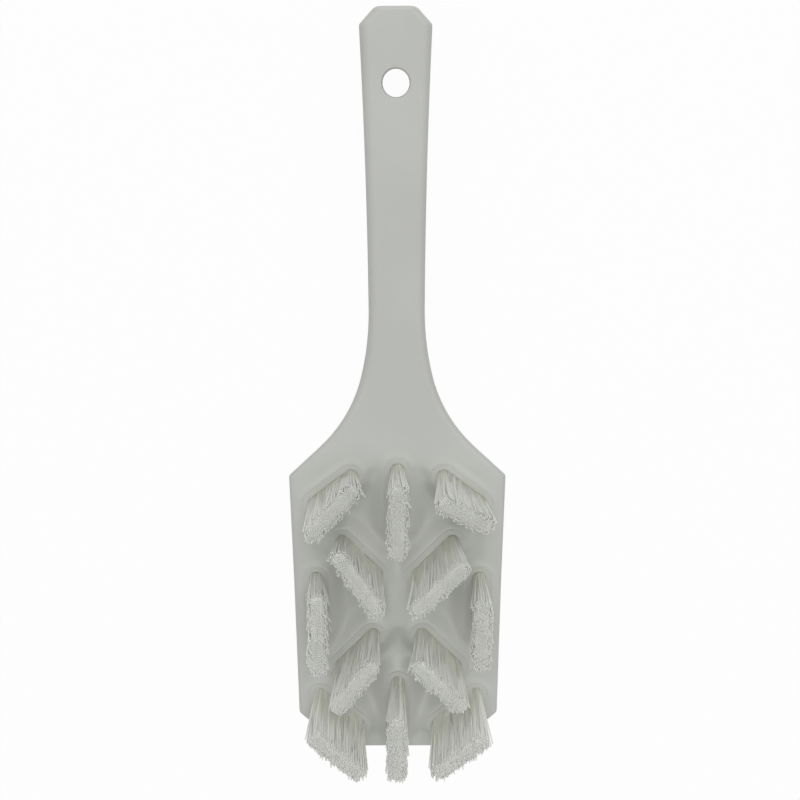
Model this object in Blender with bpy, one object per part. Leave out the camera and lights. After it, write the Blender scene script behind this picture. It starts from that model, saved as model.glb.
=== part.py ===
# Scrub brush with a one-piece moulded body and twelve oblong tufts.
#
# Units are metres and +Z is up. The brush lies on its flat back with the bristles up.
# The origin is the middle of the head's flat back, +Y runs to the handle's end, and the
# brush is alike on both sides of the plane X = 0. "Toe" is the head's far end and "heel"
# the end that carries the handle.

import math

import bmesh
import bpy
from mathutils import Vector

# Driving dimensions of the head
HEAD_WIDTH = 0.0750
HEAD_LENGTH = 0.1108
HEAD_THICKNESS = 0.0220
SIDE_TAPER = math.radians(0.43)
SIDE_TAPER_RUN = 0.0400
TOE_CORNER_CUT = 0.0147
HEAD_FACE_ROUND = 0.0020
HEAD_BACK_ROUND = 0.0060
TOE_ROUND = 0.0014

# Driving dimensions of the shoulders, the neck and the handle
NECK_WIDTH = 0.0185
LEAD_RADIUS = 0.0959
LEAD_ANGLE = math.radians(14.1)
SHOULDER_RADIUS = 0.0510
SHOULDER_ANGLE = math.radians(46.4)
HANDLE_LENGTH = 0.0924
HANDLE_END_WIDTH = 0.0226
HANDLE_THICKNESS = 0.0170
HANDLE_FACE_ROUND = 0.0046
HANDLE_BACK_ROUND = 0.0068
END_CUT_LENGTH = 0.0051
END_FACE_WIDTH = 0.0125
END_ROUND = 0.0014
BACK_RISE_SHARE = 0.80

# How far the walls lean inwards towards the back
TOE_DRAFT = math.radians(4.0)
SIDE_DRAFT = math.radians(6.0)
SHOULDER_DRAFT = math.radians(13.0)
HANDLE_DRAFT = math.radians(5.0)
TOE_DRAFT_RUN = 0.0200
SHOULDER_DRAFT_RUN = 0.0300

# Driving dimensions of the hanging hole
HOLE_DIAMETER = 0.0086
HOLE_FROM_END = 0.0218
HOLE_LEAD_IN = 0.0008
HOLE_SIDES = 24

# Driving dimensions of a tuft, its pad and its socket
TUFT_WIDTH = 0.0046
BRISTLE_TOP = 0.0205
RIM_RISE = 0.0010
PAD_RECESS = 0.0018
SOCKET_DEPTH = 0.0060
SOCKET_WALL = 0.0018
SOCKET_FLOOR = 0.0016
FOOT_SPREAD = 0.0006
FOOT_HEIGHT = 0.0018
SEAT_GAP = 0.0003

# Driving dimensions of the bristles
STRAND_RADIUS = 0.00062
STRAND_PITCH = 0.0018
STRAND_ROW_PITCH = 0.0015
STRAND_SIDES = 3
STRAND_ROOT_DEPTH = 0.0010
TIP_SPREAD_ALONG = 0.0009
TIP_SPREAD_ACROSS = 0.0021
TIP_RAGGED_SHARE = 0.035
PAD_RIM_SHARE = 0.2

# Driving dimensions of the sculpted face round the tufts
LAND_WIDTH = 0.0008
HOLLOW_DEPTH = 0.0050
HOLLOW_RUN = 0.0042
HOLLOW_BLEND = 0.0010
DECK_OVERHANG = 0.0040
DECK_RUN = 0.0036
SIDE_LAND = 0.0015
SIDE_RUN = 0.0080
TOE_RUN = 0.0050
MIDDLE_RADIUS = 0.0026

# The level middle between the four inner tufts: its ends as shares of half the head's length
MIDDLE_SPAN_SHARES = (0.0, 0.26)

# Where the tufts stand: shares of half the head's width and of half its length
TUFT_PLACE_SHARES = {
    "heel_corner": (0.595, 0.922),
    "heel_centre": (0.0, 0.865),
    "heel_inner": (0.360, 0.449),
    "side": (0.775, 0.106),
    "toe_inner": (0.400, -0.228),
    "toe_corner": (0.585, -0.687),
    "toe_centre": (0.0, -0.661),
}
# How long the tufts are: shares of half the head's length
TUFT_LENGTH_SHARES = {
    "heel_corner": 0.374,
    "heel_centre": 0.460,
    "heel_inner": 0.397,
    "side": 0.477,
    "toe_inner": 0.406,
    "toe_corner": 0.431,
    "toe_centre": 0.451,
}
# How a tuft on the right is turned, counter-clockwise from lying along the brush
TUFT_TURN_ANGLES = {
    "heel_corner": 52.0,
    "heel_centre": 0.0,
    "heel_inner": -43.0,
    "side": 0.0,
    "toe_inner": 43.0,
    "toe_corner": -47.0,
    "toe_centre": 0.0,
}
# How far a tuft on the right leans, in degrees, across to the right and along to the handle
TUFT_LEAN_ANGLES = {
    "heel_corner": (-1.3, -2.2),
    "heel_centre": (0.0, -2.8),
    "heel_inner": (0.7, -4.1),
    "side": (-2.6, -3.4),
    "toe_inner": (-0.3, -9.2),
    "toe_corner": (0.5, -18.0),
    "toe_centre": (0.0, -12.0),
}

# How finely the shapes are divided
FACE_STEP = 0.0024
SHOULDER_STEP = 0.0045
GRIP_STEP = 0.0120
DRAFT_STEPS = 8
FACE_COLUMNS = 30
BACK_COLUMNS = 4
ROUND_STEPS = 3
OBLONG_END_POINTS = 8
RIM_STEPS = 4
FLAT_ANGLE = math.radians(0.05)
CUT_OVERRUN = 0.0020

# Sizes that follow from the driving ones
HEAD_HALF_WIDTH = HEAD_WIDTH / 2
NECK_HALF_WIDTH = NECK_WIDTH / 2
TOE_Y = -HEAD_LENGTH / 2
HEEL_Y = HEAD_LENGTH / 2
FACE_Z = HEAD_THICKNESS
HANDLE_BACK_Z = HEAD_THICKNESS - HANDLE_THICKNESS
LEAD_REACH = LEAD_RADIUS * (1 - math.cos(LEAD_ANGLE))
LEAD_RUN = LEAD_RADIUS * math.sin(LEAD_ANGLE)
SWEEP_REACH = SHOULDER_RADIUS * (math.cos(LEAD_ANGLE) - math.cos(SHOULDER_ANGLE))
SWEEP_RUN = SHOULDER_RADIUS * (math.sin(SHOULDER_ANGLE) - math.sin(LEAD_ANGLE))
BEVEL_REACH = HEAD_HALF_WIDTH - NECK_HALF_WIDTH - LEAD_REACH - SWEEP_REACH
BEVEL_RUN = BEVEL_REACH / math.tan(SHOULDER_ANGLE)
SWEEP_Y = HEEL_Y + BEVEL_RUN
LEAD_Y = SWEEP_Y + SWEEP_RUN
NECK_Y = LEAD_Y + LEAD_RUN
END_Y = NECK_Y + HANDLE_LENGTH
END_CUT_Y = END_Y - END_CUT_LENGTH
SOCKET_OUTSIDE = SEAT_GAP + SOCKET_WALL
POCKET_OUTSIDE = SOCKET_OUTSIDE + SEAT_GAP
RIM_Z = FACE_Z + RIM_RISE
PAD_TOP_Z = RIM_Z - PAD_RECESS
SOCKET_BOTTOM_Z = FACE_Z - SOCKET_DEPTH
SOCKET_FLOOR_Z = SOCKET_BOTTOM_Z + SOCKET_FLOOR
BRISTLE_TOP_Z = FACE_Z + BRISTLE_TOP


# Small helpers

def smooth(share):
    """Ease from 0 to 1, level at both ends."""
    share = min(max(share, 0.0), 1.0)
    return share * share * (3 - 2 * share)


def mix(first, second, share):
    """The value a share of the way from first to second."""
    return first + (second - first) * share


def spaced(start, stop, step):
    """Evenly spaced values from start to stop, about a step apart, both ends included."""
    count = max(1, round(abs(stop - start) / step))
    return [mix(start, stop, k / count) for k in range(count + 1)]


def make_material(name, colour, roughness):
    """A plain plastic: a Principled shader with one colour."""
    material = bpy.data.materials.new(name)
    material.use_nodes = True
    shader = material.node_tree.nodes["Principled BSDF"]
    shader.inputs["Base Color"].default_value = (*colour, 1.0)
    shader.inputs["Roughness"].default_value = roughness
    shader.inputs["Metallic"].default_value = 0.0
    return material


def add_object(name, mesh, parent, material=None):
    """Put a mesh into the scene as a named object under a parent."""
    thing = bpy.data.objects.new(name, mesh)
    bpy.context.scene.collection.objects.link(thing)
    thing.parent = parent
    if material is not None:
        mesh.materials.append(material)
    return thing


def hide_cutter(cutter):
    """Mark an object that only cuts or joins another."""
    cutter.hide_render = True
    cutter.display_type = "WIRE"


def add_boolean(target, other, operation):
    """Cut or join a target with another object."""
    modifier = target.modifiers.new(other.name, "BOOLEAN")
    modifier.operation = operation
    modifier.solver = "EXACT"
    modifier.object = other


def add_loft(mesh_builder, rings):
    """Skin a run of closed rings of points and fill both ends."""
    loops = [[mesh_builder.verts.new(point) for point in ring] for ring in rings]
    for near, far in zip(loops, loops[1:]):
        for k, corner in enumerate(near):
            follow = (k + 1) % len(near)
            mesh_builder.faces.new((corner, near[follow], far[follow], far[k]))
    mesh_builder.faces.new(loops[0])
    mesh_builder.faces.new(loops[-1])


def finish_mesh(mesh_builder, name):
    """Turn all faces outwards and store the result as a mesh."""
    bmesh.ops.recalc_face_normals(mesh_builder, faces=mesh_builder.faces)
    mesh = bpy.data.meshes.new(name)
    mesh_builder.to_mesh(mesh)
    mesh_builder.free()
    return mesh


# Where the tufts stand

class TuftPlace:
    """One tuft's name, place, turn, length and lean."""

    def __init__(self, kind, side):
        across, along = TUFT_PLACE_SHARES[kind]
        lean_across, lean_along = TUFT_LEAN_ANGLES[kind]
        ending = {-1: "_left", 0: "", 1: "_right"}[side]
        mirror = side if side else 1
        self.name = kind + ending
        self.x = across * HEAD_HALF_WIDTH * mirror
        self.y = along * HEAD_LENGTH / 2
        self.turn = math.radians(90.0 + TUFT_TURN_ANGLES[kind] * mirror)
        self.length = TUFT_LENGTH_SHARES[kind] * HEAD_LENGTH / 2
        self.lean = (
            math.tan(math.radians(lean_across)) * mirror,
            math.tan(math.radians(lean_along)),
        )

    def distance(self, x, y):
        """How far a point of the face lies outside this tuft's pocket."""
        straight = (self.length - TUFT_WIDTH) / 2
        along_x = math.cos(self.turn)
        along_y = math.sin(self.turn)
        run = (x - self.x) * along_x + (y - self.y) * along_y
        run = min(max(run, -straight), straight)
        gap = math.hypot(x - self.x - run * along_x, y - self.y - run * along_y)
        return gap - TUFT_WIDTH / 2 - POCKET_OUTSIDE


def list_tufts():
    """All twelve tufts: single ones on the centre line, the others in mirrored pairs."""
    places = []
    for kind, (across, _) in TUFT_PLACE_SHARES.items():
        sides = (-1, 1) if across else (0,)
        places.extend(TuftPlace(kind, side) for side in sides)
    return places


# The body: a loft along the brush

def outline_half_width(y):
    """Half the width of the face at a place along the brush."""
    y = min(max(y, TOE_Y), END_Y)
    # the sides widen a little near the heel, and the toe's corners are cut off
    if y < HEEL_Y:
        taper = min(HEEL_Y - y, SIDE_TAPER_RUN) * math.tan(SIDE_TAPER)
        return HEAD_HALF_WIDTH - taper - max(TOE_Y + TOE_CORNER_CUT - y, 0.0)
    # straight bevel of the shoulder, its concave sweep, and the long lead into the neck
    if y < SWEEP_Y:
        return HEAD_HALF_WIDTH - (y - HEEL_Y) * math.tan(SHOULDER_ANGLE)
    if y < LEAD_Y:
        sine = math.sin(SHOULDER_ANGLE) - (y - SWEEP_Y) / SHOULDER_RADIUS
        fall = SHOULDER_RADIUS * (math.sqrt(1 - sine * sine) - math.cos(SHOULDER_ANGLE))
        return NECK_HALF_WIDTH + LEAD_REACH + SWEEP_REACH - fall
    if y < NECK_Y:
        sine = math.sin(LEAD_ANGLE) - (y - LEAD_Y) / LEAD_RADIUS
        return NECK_HALF_WIDTH + LEAD_RADIUS * (1 - math.sqrt(1 - sine * sine))
    # the grip widens along a long arc, then its corners are cut off
    share = (min(y, END_CUT_Y) - NECK_Y) / HANDLE_LENGTH
    grip = mix(NECK_HALF_WIDTH, HANDLE_END_WIDTH / 2, share * share)
    return mix(grip, END_FACE_WIDTH / 2, max(y - END_CUT_Y, 0.0) / END_CUT_LENGTH)


def wall_draft(y):
    """How steeply the side wall leans inwards at a place along the brush."""
    near_heel = smooth((y - HEEL_Y) / SHOULDER_DRAFT_RUN + 1.0)
    near_neck = smooth((y - SWEEP_Y) / (NECK_Y - SWEEP_Y))
    return mix(mix(SIDE_DRAFT, SHOULDER_DRAFT, near_heel), HANDLE_DRAFT, near_neck)


def drawn_half_width(y, drawn):
    """Half the width of the face's outline after it is drawn in by a distance all round."""
    shares = [k / DRAFT_STEPS for k in range(-DRAFT_STEPS, DRAFT_STEPS + 1)]
    return min(
        outline_half_width(y + drawn * share) - drawn * math.sqrt(1 - share * share)
        for share in shares
    )


def list_stations():
    """Places along the brush where the body gets a ring, finest under the tufts."""
    runs = (
        (TOE_Y + TOE_ROUND, TOE_Y + TOE_CORNER_CUT, FACE_STEP),
        (TOE_Y + TOE_CORNER_CUT, HEEL_Y, FACE_STEP),
        (HEEL_Y, SWEEP_Y, FACE_STEP),
        (SWEEP_Y, LEAD_Y, SHOULDER_STEP),
        (LEAD_Y, NECK_Y, SHOULDER_STEP),
        (NECK_Y, END_CUT_Y, GRIP_STEP),
        (END_CUT_Y, END_Y - END_ROUND, SHOULDER_STEP),
    )
    stations = [TOE_Y + TOE_ROUND]
    for start, stop, step in runs:
        stations.extend(spaced(start, stop, step)[1:])
    return stations


def face_height(x, y, places):
    """Height of the bristle face: level at its edges and in the middle, hollow between tufts."""
    gaps = [place.distance(x, y) for place in places]
    gaps.append((HEEL_Y + DECK_OVERHANG - y) * HOLLOW_RUN / DECK_RUN)
    toe_end, heel_end = MIDDLE_SPAN_SHARES
    beyond = max(toe_end * HEEL_Y - y, y - heel_end * HEEL_Y, 0.0)
    gaps.append(math.hypot(x, beyond) - MIDDLE_RADIUS)
    nearest = min(gaps)
    total = sum(math.exp((nearest - gap) / HOLLOW_BLEND) for gap in gaps)
    clear = nearest - HOLLOW_BLEND * math.log(total)
    depth = HOLLOW_DEPTH * smooth((clear - LAND_WIDTH) / HOLLOW_RUN)
    from_side = outline_half_width(y) - HEAD_FACE_ROUND - abs(x)
    depth *= smooth((from_side - SIDE_LAND) / SIDE_RUN)
    depth *= smooth((y - TOE_Y - TOE_ROUND) / TOE_RUN)
    return FACE_Z - depth


def arc_points(centre_x, centre_z, radius, start, stop):
    """Points along an arc of a ring, as pairs of a place across and a height."""
    angles = [mix(start, stop, k / ROUND_STEPS) for k in range(ROUND_STEPS + 1)]
    return [(centre_x + radius * math.cos(a), centre_z + radius * math.sin(a)) for a in angles]


def section(y, inset, places):
    """One ring of the body: the sculpted face, leaning walls and a narrower back."""
    rise = smooth((y - HEEL_Y) / ((NECK_Y - HEEL_Y) * BACK_RISE_SHARE))
    back_z = mix(0.0, HANDLE_BACK_Z, rise) + inset
    face_round = mix(HEAD_FACE_ROUND, HANDLE_FACE_ROUND, rise) - inset
    back_round = mix(HEAD_BACK_ROUND, HANDLE_BACK_ROUND, rise) - inset
    height = FACE_Z - back_z
    toe_slope = math.tan(TOE_DRAFT) * (1 - smooth((y - TOE_Y) / TOE_DRAFT_RUN))
    drawn = height * math.tan(wall_draft(y))
    reach = outline_half_width(y) - drawn_half_width(y + toe_slope * height, drawn)
    slope = math.atan(reach / height)
    # the wall touches both rounded edges, so the lower one's centre follows from the slope
    face_reach = outline_half_width(y) - inset - face_round
    edge_z = FACE_Z - inset - face_round
    fall = edge_z - back_z - back_round
    shift = (face_round - back_round - math.sin(slope) * fall) / math.cos(slope)
    back_reach = face_reach + shift
    back_edge_z = back_z + back_round
    quarter = math.pi / 2
    right = arc_points(face_reach, edge_z, face_round, -slope, quarter)[:-1]
    left = arc_points(-face_reach, edge_z, face_round, quarter, 2 * quarter + slope)[1:]
    spots = []
    for k in range(FACE_COLUMNS + 1):
        x = mix(face_reach, -face_reach, k / FACE_COLUMNS)
        spots.append((x, face_height(x, y, places) - inset))
    spots += left
    spots += arc_points(-back_reach, back_edge_z, back_round, 2 * quarter + slope, 3 * quarter)
    for k in range(1, BACK_COLUMNS):
        spots.append((mix(-back_reach, back_reach, k / BACK_COLUMNS), back_z))
    spots += arc_points(back_reach, back_edge_z, back_round, 3 * quarter, 4 * quarter - slope)
    return [Vector((x, y + toe_slope * (FACE_Z - z), z)) for x, z in spots + right]


def make_body_mesh(places):
    """Loft the sections, with a rounded rim at the toe and at the handle's end."""
    rings = []
    quarter = math.pi / 2
    for k in range(ROUND_STEPS):
        angle = mix(quarter, 0.0, k / ROUND_STEPS)
        y = TOE_Y + TOE_ROUND * (1 - math.sin(angle))
        rings.append(section(y, TOE_ROUND * (1 - math.cos(angle)), places))
    rings.extend(section(y, 0.0, places) for y in list_stations())
    for k in range(1, ROUND_STEPS + 1):
        angle = mix(0.0, quarter, k / ROUND_STEPS)
        y = END_Y - END_ROUND * (1 - math.sin(angle))
        rings.append(section(y, END_ROUND * (1 - math.cos(angle)), places))
    mesh_builder = bmesh.new()
    add_loft(mesh_builder, rings)
    bmesh.ops.recalc_face_normals(mesh_builder, faces=mesh_builder.faces)
    bmesh.ops.dissolve_limit(
        mesh_builder,
        angle_limit=FLAT_ANGLE,
        use_dissolve_boundaries=False,
        verts=mesh_builder.verts,
        edges=mesh_builder.edges,
    )
    bmesh.ops.triangulate(mesh_builder, faces=mesh_builder.faces)
    return finish_mesh(mesh_builder, "brush_body")


def make_hole_cutter_mesh():
    """A bar through the handle that widens at both faces into a lead-in."""
    radius = HOLE_DIAMETER / 2
    wide = radius + HOLE_LEAD_IN + CUT_OVERRUN
    levels = (
        (HANDLE_BACK_Z - CUT_OVERRUN, wide),
        (HANDLE_BACK_Z + HOLE_LEAD_IN, radius),
        (FACE_Z - HOLE_LEAD_IN, radius),
        (FACE_Z + CUT_OVERRUN, wide),
    )
    rings = []
    for z, ring_radius in levels:
        ring = []
        for k in range(HOLE_SIDES):
            angle = 2 * math.pi * k / HOLE_SIDES
            ring.append(Vector((ring_radius * math.cos(angle), ring_radius * math.sin(angle), z)))
        rings.append(ring)
    mesh_builder = bmesh.new()
    add_loft(mesh_builder, rings)
    return finish_mesh(mesh_builder, "hole_cutter")


# Oblong pieces: the pockets, the sockets and the pads are lofts of one outline

def oblong_ring(length, outside, z):
    """A tuft's outline, grown outwards by a distance, at a height."""
    radius = TUFT_WIDTH / 2 + outside
    straight = (length - TUFT_WIDTH) / 2
    ring = []
    for end in (1, -1):
        for k in range(OBLONG_END_POINTS):
            angle = math.pi * (k / (OBLONG_END_POINTS - 1) - 0.5)
            across = radius * math.sin(angle) * end
            along = (straight + radius * math.cos(angle)) * end
            ring.append(Vector((along, across, z)))
    return ring


def make_oblong_mesh(name, length, profile):
    """Loft an oblong piece from a profile of distances outside the outline and heights."""
    mesh_builder = bmesh.new()
    add_loft(mesh_builder, [oblong_ring(length, outside, z) for outside, z in profile])
    return finish_mesh(mesh_builder, name)


def pocket_profile():
    """The socket's outside with the seat gap all round, open at the face."""
    foot_outside = POCKET_OUTSIDE + FOOT_SPREAD
    foot_top_z = SOCKET_BOTTOM_Z + FOOT_HEIGHT + SEAT_GAP
    return (
        (foot_outside, SOCKET_BOTTOM_Z - SEAT_GAP),
        (foot_outside, foot_top_z),
        (POCKET_OUTSIDE, foot_top_z),
        (POCKET_OUTSIDE, FACE_Z + CUT_OVERRUN),
    )


def socket_profile():
    """A cup: foot, wall, half-round rim, and down the inside to the floor."""
    half_wall = SOCKET_WALL / 2
    middle = SEAT_GAP + half_wall
    profile = [
        (SOCKET_OUTSIDE + FOOT_SPREAD, SOCKET_BOTTOM_Z),
        (SOCKET_OUTSIDE + FOOT_SPREAD, SOCKET_BOTTOM_Z + FOOT_HEIGHT),
        (SOCKET_OUTSIDE, SOCKET_BOTTOM_Z + FOOT_HEIGHT),
    ]
    for k in range(RIM_STEPS + 1):
        angle = math.pi * k / RIM_STEPS
        outside = middle + half_wall * math.cos(angle)
        profile.append((outside, RIM_Z - half_wall + half_wall * math.sin(angle)))
    profile.append((SEAT_GAP, SOCKET_FLOOR_Z))
    return profile


def pad_profile():
    """The block of fused filament ends that lies in the socket."""
    return (
        (0.0, SOCKET_FLOOR_Z + SEAT_GAP),
        (0.0, PAD_TOP_Z),
    )


# The bristles

def strand_roots(length):
    """Where the strands leave the pad: three staggered rows along it."""
    roots = []
    rows = (TUFT_WIDTH / 2 - STRAND_RADIUS) // STRAND_ROW_PITCH
    for row in range(-int(rows), int(rows) + 1):
        across = row * STRAND_ROW_PITCH
        room = TUFT_WIDTH / 2 - STRAND_RADIUS * (1 + PAD_RIM_SHARE)
        reach = (length - TUFT_WIDTH) / 2 + math.sqrt(max(room * room - across * across, 0.0))
        shift = STRAND_PITCH / 2 if row % 2 == 0 else 0.0
        count = int((reach - shift) // STRAND_PITCH)
        along = [shift + k * STRAND_PITCH for k in range(count + 1)]
        mirrored = [-value for value in along if value > 0]
        roots.extend((value, across) for value in sorted(mirrored) + along)
    return roots


def make_strands_mesh(place):
    """All strands of one tuft: straight prisms that spread and lean to their tips."""
    mesh_builder = bmesh.new()
    height = BRISTLE_TOP_Z - PAD_TOP_Z
    lean_x, lean_y = place.lean
    turn_cos = math.cos(place.turn)
    turn_sin = math.sin(place.turn)
    shift_along = (lean_x * turn_cos + lean_y * turn_sin) * height
    shift_across = (lean_y * turn_cos - lean_x * turn_sin) * height
    spread_along = 1 + 2 * TIP_SPREAD_ALONG / place.length
    spread_across = 1 + 2 * TIP_SPREAD_ACROSS / TUFT_WIDTH
    for index, (along, across) in enumerate(strand_roots(place.length)):
        root = Vector((along, across, PAD_TOP_Z))
        ragged = 1 - TIP_RAGGED_SHARE * (index * 7 % 5) / 4
        tip_offset = Vector((
            along * spread_along + shift_along - along,
            across * spread_across + shift_across - across,
            height,
        )) * ragged
        tip = root + tip_offset
        start = root - tip_offset * (STRAND_ROOT_DEPTH / height)
        rings = []
        for centre in (start, tip):
            ring = []
            for k in range(STRAND_SIDES):
                angle = 2 * math.pi * (k / STRAND_SIDES + index / 5)
                edge = Vector((math.cos(angle), math.sin(angle), 0.0)) * STRAND_RADIUS
                ring.append(centre + edge)
            rings.append(ring)
        add_loft(mesh_builder, rings)
    return finish_mesh(mesh_builder, "strands_" + place.name)


# Building the brush

def build_brush():
    """Make every piece and put it in its place."""
    for thing in list(bpy.data.objects):
        bpy.data.objects.remove(thing, do_unlink=True)
    brush = bpy.data.objects.new("scrub_brush", None)
    bpy.context.scene.collection.objects.link(brush)
    places = list_tufts()

    body_plastic = make_material("moulded_body_plastic", (0.56, 0.57, 0.54), 0.42)
    body = add_object("brush_body", make_body_mesh(places), brush, body_plastic)
    hole_cutter = add_object("hole_cutter", make_hole_cutter_mesh(), brush)
    hole_cutter.location.y = END_Y - HOLE_FROM_END
    hide_cutter(hole_cutter)
    add_boolean(body, hole_cutter, "DIFFERENCE")

    strand_count = 0
    for place in places:
        spot = Vector((place.x, place.y, 0.0))
        pocket_mesh = make_oblong_mesh("pocket_" + place.name, place.length, pocket_profile())
        pocket = add_object("pocket_" + place.name, pocket_mesh, brush)
        hide_cutter(pocket)
        add_boolean(body, pocket, "DIFFERENCE")

        socket_plastic = make_material("socket_plastic_" + place.name, (0.56, 0.57, 0.54), 0.40)
        socket_mesh = make_oblong_mesh("socket_" + place.name, place.length, socket_profile())
        socket = add_object("socket_" + place.name, socket_mesh, brush, socket_plastic)

        filament = make_material("filament_" + place.name, (0.68, 0.69, 0.65), 0.50)
        pad_mesh = make_oblong_mesh("tuft_" + place.name, place.length, pad_profile())
        tuft = add_object("tuft_" + place.name, pad_mesh, brush, filament)
        strands = add_object("strands_" + place.name, make_strands_mesh(place), brush)
        hide_cutter(strands)
        add_boolean(tuft, strands, "UNION")

        for thing in (pocket, socket, tuft, strands):
            thing.location = spot
            thing.rotation_euler.z = place.turn
        strand_count += len(strand_roots(place.length))

    print("length", round(END_Y - TOE_Y, 4), "width", HEAD_WIDTH, "strands", strand_count)


build_brush()
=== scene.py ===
# %% [markdown]
# # A hand scrub brush
#
# The real brush is a stiff plastic moulding: a thick head, two sweeping shoulders and a long
# flat handle with a hole to hang it by. Twelve oblong sockets sit in the head's face, and a
# dense tuft of filaments stands in each of them. The brush lies on its flat back.
#
# The frame holds every piece at its real size. This lesson dresses it: first the camera and
# the light, then the plastic, the body, the sockets and last the bristles.

# %% Load the frame
import math

import bmesh
import bpy
import numpy as np
from mathutils import Matrix, Vector


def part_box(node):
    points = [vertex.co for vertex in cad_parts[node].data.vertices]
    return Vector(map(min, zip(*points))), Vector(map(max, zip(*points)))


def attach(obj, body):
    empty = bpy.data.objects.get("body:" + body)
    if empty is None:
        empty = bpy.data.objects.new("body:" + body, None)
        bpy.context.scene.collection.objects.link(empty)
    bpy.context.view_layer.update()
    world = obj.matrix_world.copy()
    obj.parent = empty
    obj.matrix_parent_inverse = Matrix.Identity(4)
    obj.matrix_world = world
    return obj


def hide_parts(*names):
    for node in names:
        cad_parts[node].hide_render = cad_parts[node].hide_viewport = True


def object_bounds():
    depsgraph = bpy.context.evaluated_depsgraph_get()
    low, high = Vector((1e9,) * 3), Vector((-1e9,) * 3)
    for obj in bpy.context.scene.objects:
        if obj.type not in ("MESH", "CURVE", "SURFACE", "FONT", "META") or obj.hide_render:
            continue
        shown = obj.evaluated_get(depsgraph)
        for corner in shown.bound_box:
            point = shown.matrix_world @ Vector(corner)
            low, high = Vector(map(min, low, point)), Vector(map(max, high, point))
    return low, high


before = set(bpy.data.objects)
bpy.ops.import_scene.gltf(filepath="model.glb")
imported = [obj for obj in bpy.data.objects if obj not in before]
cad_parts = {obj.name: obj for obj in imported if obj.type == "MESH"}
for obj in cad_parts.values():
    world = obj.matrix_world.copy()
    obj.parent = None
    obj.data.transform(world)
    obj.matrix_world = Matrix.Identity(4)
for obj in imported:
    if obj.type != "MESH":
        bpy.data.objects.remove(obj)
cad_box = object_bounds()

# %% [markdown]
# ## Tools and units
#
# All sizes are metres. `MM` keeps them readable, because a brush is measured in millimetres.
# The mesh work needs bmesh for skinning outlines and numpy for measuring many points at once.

MM = 0.001
DEGREE = math.pi / 180

print("brush in mm:", [round(size / MM, 1) for size in cad_box[1] - cad_box[0]])

# %% [markdown]
# ## The camera
#
# The picture was taken from above the handle's end, close to the brush and tipped towards its
# head. That is why the head looks wider at the shoulders than at the toe, and why the tufts
# show the sides that face the handle. A camera far away with a long lens would lose both, so
# the distance matters more than the framing. The place, the tilt and the lens were worked
# out from the brush's own edges, which run parallel on the object but not in the picture.

# %% Camera
CAMERA_PLACE = Vector((1.27 * MM, 184.67 * MM, 330.0 * MM))
CAMERA_TILT = -18.2 * DEGREE
CAMERA_ROLL = -0.145 * DEGREE
CAMERA_LENS = 43.5
SENSOR_WIDTH = 36.0


def add_object(name, data):
    """Put an object with its mesh, lamp or camera data into the scene."""
    thing = bpy.data.objects.new(name, data)
    bpy.context.scene.collection.objects.link(thing)
    return thing


camera_data = bpy.data.cameras.new("studio_camera")
camera_data.lens = CAMERA_LENS
camera_data.sensor_width = SENSOR_WIDTH
camera_data.clip_start = 1 * MM
camera = add_object("studio_camera", camera_data)
camera.location = CAMERA_PLACE
camera.rotation_euler = (CAMERA_TILT, 0.0, CAMERA_ROLL)
bpy.context.scene.camera = camera
bpy.context.scene.view_settings.view_transform = "Standard"
print("camera height above the floor in mm:", round(camera.location.z / MM))

# %% [markdown]
# ## Nodes written as expressions
#
# Materials and Geometry Nodes are both trees of nodes. Placing each node by hand takes many
# lines and hides the idea, so a small class wraps an output and lets Python's arithmetic add
# the Math nodes. `1 - mask` then reads as what it is. Every other node comes from one method,
# which sets the node's own settings first, because some of them change which sockets exist.

# %% Expressions on sockets
class Wire:
    """An output in a node tree. Arithmetic on it adds Math nodes."""

    def __init__(self, nodes, socket):
        self.nodes = nodes
        self.socket = socket

    def part(self, name):
        """Another output of the same node."""
        return Wire(self.nodes, self.socket.node.outputs[name])

    def __add__(self, other):
        return self.nodes.math("ADD", self, other)

    def __radd__(self, other):
        return self.nodes.math("ADD", other, self)

    def __sub__(self, other):
        return self.nodes.math("SUBTRACT", self, other)

    def __rsub__(self, other):
        return self.nodes.math("SUBTRACT", other, self)

    def __mul__(self, other):
        return self.nodes.math("MULTIPLY", self, other)

    def __rmul__(self, other):
        return self.nodes.math("MULTIPLY", other, self)

    def __truediv__(self, other):
        return self.nodes.math("DIVIDE", self, other)

    def __rtruediv__(self, other):
        return self.nodes.math("DIVIDE", other, self)

    def __pow__(self, other):
        return self.nodes.math("POWER", self, other)

    def __rpow__(self, other):
        return self.nodes.math("POWER", other, self)


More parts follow.
